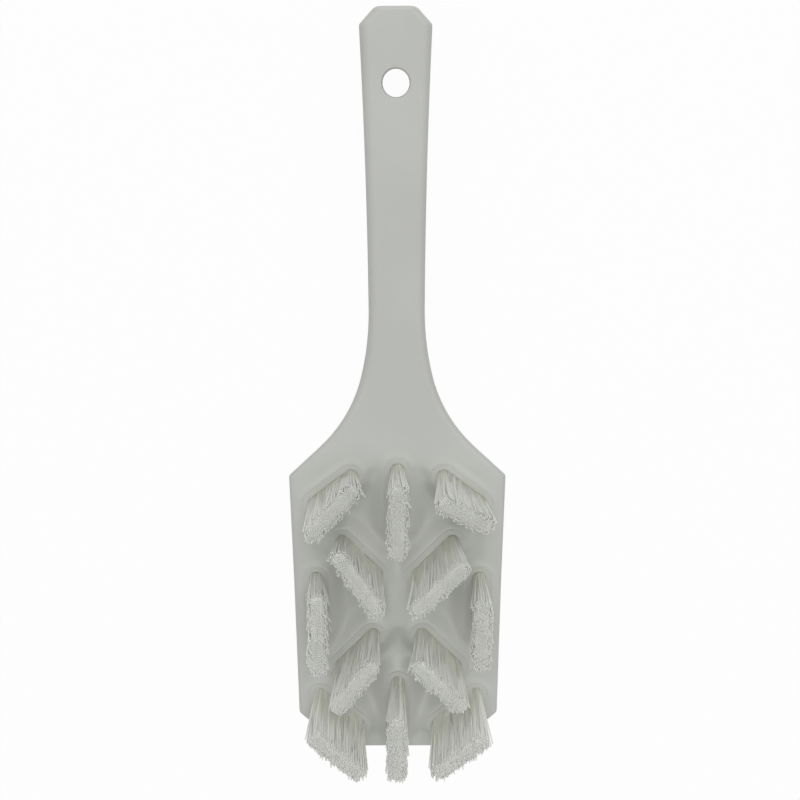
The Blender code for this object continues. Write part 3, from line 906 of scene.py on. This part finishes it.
def socket_profile():
    """How far outside the tuft and how high: foot, wall, rim, down to the floor."""
    base = FACE_Z - POCKET_DEPTH
    top = FACE_Z + COLLAR_RISE
    profile = [
        (SOCKET_WALL + SOCKET_FOOT, base),
        (SOCKET_WALL + SOCKET_FOOT, base + FOOT_HEIGHT),
        (SOCKET_WALL, base + FOOT_HEIGHT),
    ]
    for k in range(RIM_STEPS + 1):
        share = k / RIM_STEPS
        profile.append((mix(SOCKET_WALL, RIM_GAP, share), top - RIM_FALL * smooth(share)))
    profile.append((SEAT_GAP, base + SOCKET_FLOOR))
    return profile


def make_socket(spot):
    """The cup that holds one tuft."""
    rings = [oblong(spot, outside, z) for outside, z in socket_profile()]
    socket = loft("socket_cup_" + spot.name, rings)
    socket.data.materials.append(socket_plastic)
    socket.data.shade_smooth()
    socket.data.set_sharp_from_angle(angle=SHARP_ANGLE)
    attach(socket, "root")
    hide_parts("socket_" + spot.name)
    return socket


sockets = [make_socket(spot) for spot in spots]
print("sockets:", len(sockets))

# %% [markdown]
# ## The filament
#
# The filaments are polyester, less than half a millimetre thick, milky and slightly clear.
# Their cut ends catch the light and look almost white, while deep in the tuft, where light
# has passed through many of them, the tone drops to a warm grey. The colour paints that shade:
# it runs from a darker, greener root to a near white tip. The bristles carry three attributes
# for that: `along` runs from 0 at the root to 1 at the tip, `tone` is one random value for
# each filament, and `streak` is one for each small bundle of them.

# %% Filament material
# painted shade: the root colour is darker and greener than the filament, for the shade deep in
# the tuft
FILAMENT_ROOT_SHADED = (0.760, 0.768, 0.670, 1.0)
FILAMENT_TIP = (0.870, 0.880, 0.835, 1.0)
STREAK_REACH = 0.35
TONE_REACH = 0.15
LIGHT_FROM = 0.12
LIGHT_TO = 0.68
FILAMENT_ROUGHNESS = 0.38
TONE_ROUGHNESS = 0.12
FILAMENT_SPECULAR = 0.2
CLEAR_SHARE = 0.6
CLEAR_DEPTH = 0.6 * MM


def make_filament():
    """Milky filament whose colour paints shade: darker towards the root, lighter towards its cut
    end.
    """
    material, nodes = new_material("filament")
    along, tone, streak = (
        nodes.add("ShaderNodeAttribute", {"attribute_name": name}, output="Fac")
        for name in ("along", "tone", "streak")
    )
    reach = along + (streak - 0.5) * STREAK_REACH + (tone - 0.5) * TONE_REACH
    painted_light_share = nodes.smoothstep(reach, LIGHT_FROM, LIGHT_TO)
    sockets = {
        "Base Color": nodes.mix_colour(painted_light_share, FILAMENT_ROOT_SHADED, FILAMENT_TIP),
        "Roughness": FILAMENT_ROUGHNESS + tone * TONE_ROUGHNESS,
        "Specular IOR Level": FILAMENT_SPECULAR,
        "Subsurface Weight": CLEAR_SHARE,
        "Subsurface Radius": (1.0, 1.0, 1.0),
        "Subsurface Scale": CLEAR_DEPTH,
    }
    show(nodes, nodes.add("ShaderNodeBsdfPrincipled", {}, sockets))
    return material


filament = make_filament()
print("filament material:", filament.name)

# %% [markdown]
# ## Bristles
#
# A tuft holds far more filaments than anyone would place by hand, so it is grown by Geometry
# Nodes. A staggered grid of points fills the oblong foot so densely that the strands touch.
# Each point gets a strand, whose tip follows four small rules: the tuft opens towards its
# tips and leans, the outer filaments splay, singly and in small bundles, each filament
# wanders a bit, and no two are cut to quite the same length. A four-sided tube with smooth
# shading is enough round a strand that is about a pixel thick. Inside, a real tuft is so
# dense that no light shows through, so a core that leans and opens with the filaments fills
# it to just below the tips.
#
# Packing and use have pushed the real tufts about, and differently on the two sides. So the
# list below says where the tips of a tuft's two ends stand, first the end near the handle.
# Its shift, its turn and its stretch against the foot follow from that. The tree has named
# inputs for them, and the twelve tufts share it.

# %% Grow a tuft
STRAND_POINTS = 5
STRAND_SIDES = 4
CORE_RINGS = (
    (0.00, 0.25 * MM),
    (0.20, 0.20 * MM),
    (0.40, 0.20 * MM),
    (0.60, 0.20 * MM),
    (0.80, 0.30 * MM),
    (0.90, 0.60 * MM),
    (0.94, 1.20 * MM),
)
ROOT_DEPTH = 0.2 * MM
GRID_ANGLE = 60 * DEGREE
JITTER_SHARE = 0.12
RIM_START = 0.2
BEND_POWER = 1.3
BUNDLE_SPLAY = 0.4
STRAY_GAIN = 2.5
BUNDLE_RAGGED = 0.5
INNER_RAGGED = 0.4
SALTS = {"jitter": 1, "tone": 2, "cut": 3, "drift": 4, "stray": 5, "loose": 6}
SEED_STEP = 100
TUFT_LOOK = {
    "Pitch": 0.33 * MM,
    "Filament Radius": 0.21 * MM,
    "Bundle Scale": 1000.0,
    "Bundle Share": 0.05,
    "Splay": 2.0 * MM,
    "Wander": 0.14 * MM,
    "Stray Chance": 0.01,
    "Ragged Share": 0.11,
    "Crown Share": 0.015,
}
TUFT_SHARP_ANGLE = 80 * DEGREE
TIP_STRETCH_ACROSS = 1.35
TIP_ENDS = {
    "heel_corner_left": ((-14.7, 58.2), (-27.6, 43.6)),
    "heel_corner_right": ((15.5, 53.4), (29.5, 45.9)),
    "heel_centre": ((0.3, 58.1), (0.3, 36.0)),
    "heel_inner_left": ((-19.3, 34.1), (-7.4, 14.7)),
    "heel_inner_right": ((21.3, 29.7), (6.9, 14.6)),
    "side_left": ((-27.1, 17.9), (-27.5, -8.4)),
    "side_right": ((28.9, 16.2), (28.9, -6.7)),
    "toe_inner_left": ((-9.3, -8.1), (-21.0, -23.8)),
    "toe_inner_right": ((7.3, -8.5), (21.9, -23.6)),
    "toe_corner_left": ((-29.5, -38.0), (-14.4, -52.2)),
    "toe_corner_right": ((29.9, -39.2), (14.7, -52.0)),
    "toe_centre": ((-0.3, -31.5), (-0.3, -53.0)),
}


def make_tuft_tree():
    """Filaments that fill an oblong foot, lean, open, splay and end unevenly."""
    numbers = (
        "Length",
        "Width",
        "Root Height",
        "Strand Height",
        "Tip Turn",
        "Turn",
        *TUFT_LOOK,
    )
    inputs = dict.fromkeys(numbers, "Float")
    inputs.update(dict.fromkeys(("Tip Shift", "Tip Stretch", "Middle"), "Vector"))
    inputs.update({"Seed": "Int", "Material": "Material"})
    tree, nodes, given = new_geometry_tree("grow_tuft", inputs)
    pitch = given["Pitch"]
    row_pitch = pitch * math.sin(GRID_ANGLE)

    def random(name, kind, *limits):
        # the sockets' names repeat here too: the number of the first one, and of the output
        first, output = {"FLOAT": (2, 1), "FLOAT_VECTOR": (0, 0), "BOOLEAN": (6, 3)}[kind]
        sockets = {first + k: limit for k, limit in enumerate(limits)}
        sockets["Seed"] = given["Seed"] + SALTS[name]
        return nodes.add("FunctionNodeRandomValue", {"data_type": kind}, sockets, output)

    def stored(geometry, name, value, kind="FLOAT"):
        sockets = {"Geometry": geometry, "Name": name, "Value": value}
        settings = {"data_type": kind, "domain": "POINT"}
        return nodes.add("GeometryNodeStoreNamedAttribute", settings, sockets)

    # a staggered grid of roots
    columns = nodes.math("CEIL", given["Length"] / pitch) + 1
    rows = nodes.math("CEIL", given["Width"] / row_pitch) + 1
    size_x = (columns - 1) * pitch
    size_y = (rows - 1) * row_pitch
    sockets = {"Size X": size_x, "Size Y": size_y, "Vertices X": columns, "Vertices Y": rows}
    grid = nodes.add("GeometryNodeMeshGrid", {}, sockets)
    position = nodes.add("GeometryNodeInputPosition")
    along, across, _ = nodes.split(position)
    row = nodes.math("ROUND", (across + size_y / 2) / row_pitch)
    stagger = (nodes.math("MODULO", row, 2.0) - 0.5) * pitch / 2
    jitter = random("jitter", "FLOAT_VECTOR", (-1.0, -1.0, 0.0), (1.0, 1.0, 0.0))
    sockets = {0: jitter, "Scale": pitch * JITTER_SHARE}
    jitter = nodes.add("ShaderNodeVectorMath", {"operation": "SCALE"}, sockets)
    shift = nodes.vector("ADD", jitter, nodes.combine(X=stagger))
    grid = nodes.add("GeometryNodeSetPosition", {}, {"Geometry": grid, "Offset": shift})

    # keep what lies inside the oblong foot
    half = (given["Length"] - given["Width"]) / 2
    beside = along - nodes.math("MINIMUM", nodes.math("MAXIMUM", along, 0.0 - half), half)
    gap = (beside * beside + across * across) ** 0.5
    room = given["Width"] / 2 - given["Filament Radius"]
    sockets = {"Geometry": grid, "Selection": nodes.math("GREATER_THAN", gap, room)}
    grid = nodes.add("GeometryNodeDeleteGeometry", {"domain": "POINT"}, sockets)

    # what each filament keeps
    rim = nodes.smoothstep(gap / room, RIM_START, 1.0)
    away = nodes.combine(X=beside * rim / gap, Y=across * rim / gap, Z=rim)
    drift = random("drift", "FLOAT_VECTOR", (-1.0,) * 3, (1.0,) * 3)
    for name, value in (("away", away), ("root", position), ("drift", drift)):
        grid = stored(grid, name, value, "FLOAT_VECTOR")
    for name in ("tone", "cut", "loose"):
        grid = stored(grid, name, random(name, "FLOAT", 0.0, 1.0))
    grid = stored(grid, "stray", random("stray", "BOOLEAN", given["Stray Chance"]))

    # one strand at each root
    strand = nodes.add("GeometryNodeCurvePrimitiveLine", {}, {"End": (0.0, 0.0, 1.0)})
    strand = nodes.add("GeometryNodeResampleCurve", {}, {"Curve": strand, "Count": STRAND_POINTS})
    strands = nodes.add("GeometryNodeInstanceOnPoints", {}, {"Points": grid, "Instance": strand})
    strands = nodes.add("GeometryNodeRealizeInstances", {}, {"Geometry": strands})

    # bend each strand from its root to its tip
    share = nodes.add("GeometryNodeSplineParameter", output="Factor")
    bend = share ** BEND_POWER
    root = nodes.read("root", "FLOAT_VECTOR")
    moved = nodes.vector("ADD", root, given["Middle"])
    settings = {"voronoi_dimensions": "3D", "feature": "F1"}
    sockets = {"Vector": moved, "Scale": given["Bundle Scale"], "Randomness": 1.0}
    centre = nodes.add("ShaderNodeTexVoronoi", settings, sockets, "Position")
    root_x, root_y, _ = nodes.split(root)
    pull_x, pull_y, _ = nodes.split(nodes.vector("SUBTRACT", centre, moved))
    away_x, away_y, rim = nodes.split(nodes.read("away", "FLOAT_VECTOR"))
    drift_x, drift_y, _ = nodes.split(nodes.read("drift", "FLOAT_VECTOR"))
    shift_x, shift_y, _ = nodes.split(given["Tip Shift"])
    stretch_x, stretch_y, _ = nodes.split(given["Tip Stretch"])
    bundle, streak, level = nodes.split(centre.part("Color"))
    loose = nodes.read("loose")
    splay = bundle * bundle * BUNDLE_SPLAY + loose * loose * loose * (1 - BUNDLE_SPLAY)
    splay = given["Splay"] * splay * bend
    cosine = nodes.math("COSINE", given["Tip Turn"])
    sine = nodes.math("SINE", given["Tip Turn"])
    long = root_x * stretch_x
    wide = root_y * stretch_y
    tip_x = long * cosine - wide * sine + shift_x
    tip_y = long * sine + wide * cosine + shift_y
    wander = given["Wander"] * (1 + nodes.read("stray") * STRAY_GAIN) * bend
    gather = given["Bundle Share"] * bend
    x = root_x + (tip_x - root_x) * share + pull_x * gather + drift_x * wander + away_x * splay
    y = root_y + (tip_y - root_y) * share + pull_y * gather + drift_y * wander + away_y * splay
    uneven = nodes.read("cut") * (1 - BUNDLE_RAGGED) + level * BUNDLE_RAGGED
    ragged = given["Ragged Share"] * uneven
    trim = 1 - ragged * (INNER_RAGGED + rim * (1 - INNER_RAGGED)) - given["Crown Share"] * rim
    z = given["Root Height"] + given["Strand Height"] * share * trim
    sockets = {"Geometry": strands, "Position": nodes.combine(X=x, Y=y, Z=z)}
    strands = nodes.add("GeometryNodeSetPosition", {}, sockets)
    strands = stored(strands, "along", share)
    strands = stored(strands, "streak", streak)

    # tubes round the strands, joined to the core
    sockets = {"Resolution": STRAND_SIDES, "Radius": given["Filament Radius"]}
    circle = nodes.add("GeometryNodeCurvePrimitiveCircle", {"mode": "RADIUS"}, sockets)
    sockets = {"Curve": strands, "Profile Curve": circle, "Fill Caps": True}
    tubes = nodes.add("GeometryNodeCurveToMesh", {}, sockets)
    joined = nodes.add("GeometryNodeJoinGeometry", {}, {"Geometry": given["Geometry"]})
    nodes.tree.links.new(tubes.socket, joined.socket.node.inputs["Geometry"])
    turn = nodes.add("FunctionNodeEulerToRotation", {}, {0: nodes.combine(Z=given["Turn"])})
    sockets = {"Geometry": joined, "Translation": given["Middle"], "Rotation": turn}
    placed = nodes.add("GeometryNodeTransform", {}, sockets)
    placed = nodes.add("GeometryNodeRealizeInstances", {}, {"Geometry": placed})
    sockets = {"Geometry": placed, "Material": given["Material"]}
    end_geometry_tree(nodes, nodes.add("GeometryNodeSetMaterial", {}, sockets))
    return tree


def tip_values(spot):
    """How the tips lie against the foot: shifted, turned and stretched."""
    near, far = (Vector(end) * MM for end in TIP_ENDS[spot.name])
    line = near - far
    shift = (near + far) / 2 - spot.middle.xy
    shift.rotate(Matrix.Rotation(-spot.turn, 2))
    stretch = line.length / (spot.length - spot.width)
    return {
        "Tip Shift": (*shift, 0.0),
        "Tip Turn": math.atan2(line.y, line.x) - spot.turn,
        "Tip Stretch": (stretch, TIP_STRETCH_ACROSS, 1.0),
    }


def make_core(spot, root_z, tips):
    """The fused ends in the socket and the tuft's dense inside, lying along X."""
    stretch_x, stretch_y, _ = tips["Tip Stretch"]
    turn = Matrix.Rotation(tips["Tip Turn"], 2)
    shift = Vector(tips["Tip Shift"]).xy
    rings = [[(x, y, z) for x, y in flat_oblong(spot, 0.0)] for z in (spot.foot_z, root_z)]
    shares = [0.0, 0.0]
    for share, inset in CORE_RINGS:
        ring = []
        for x, y in flat_oblong(spot, -inset):
            tip = turn @ Vector((x * stretch_x, y * stretch_y)) + shift
            place = Vector((x, y)).lerp(tip, share)
            ring.append((*place, mix(root_z, spot.top_z, share)))
        rings.append(ring)
        shares.append(share)
    core = loft("bristle_tuft_" + spot.name, rings)
    # the core stores no tone or streak, which read as 0, so its colour stays darker than the
    # filaments': painted shade in the gaps between them
    store(core.data, "along", "FLOAT", [share for share in shares for _ in rings[0]])
    return core


def make_tuft(spot, tree, seed):
    """Grow one tuft and store it as a plain mesh."""
    root_z = FACE_Z - ROOT_DEPTH
    tips = tip_values(spot)
    tuft = make_core(spot, root_z, tips)
    values = {
        "Length": spot.length,
        "Width": spot.width,
        "Root Height": root_z,
        "Strand Height": spot.top_z - root_z,
        "Middle": spot.middle,
        "Turn": spot.turn,
        "Seed": seed,
        "Material": filament,
    }
    add_tree(tuft, tree, {**TUFT_LOOK, **tips, **values})
    bake(tuft)
    tuft.data.shade_smooth()
    tuft.data.set_sharp_from_angle(angle=TUFT_SHARP_ANGLE)
    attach(tuft, "root")
    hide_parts("tuft_" + spot.name)
    return tuft


tuft_tree = make_tuft_tree()
tufts = [make_tuft(spot, tuft_tree, SEED_STEP * k) for k, spot in enumerate(spots)]
print("triangles in the first tuft:", triangle_count(tufts[0]))
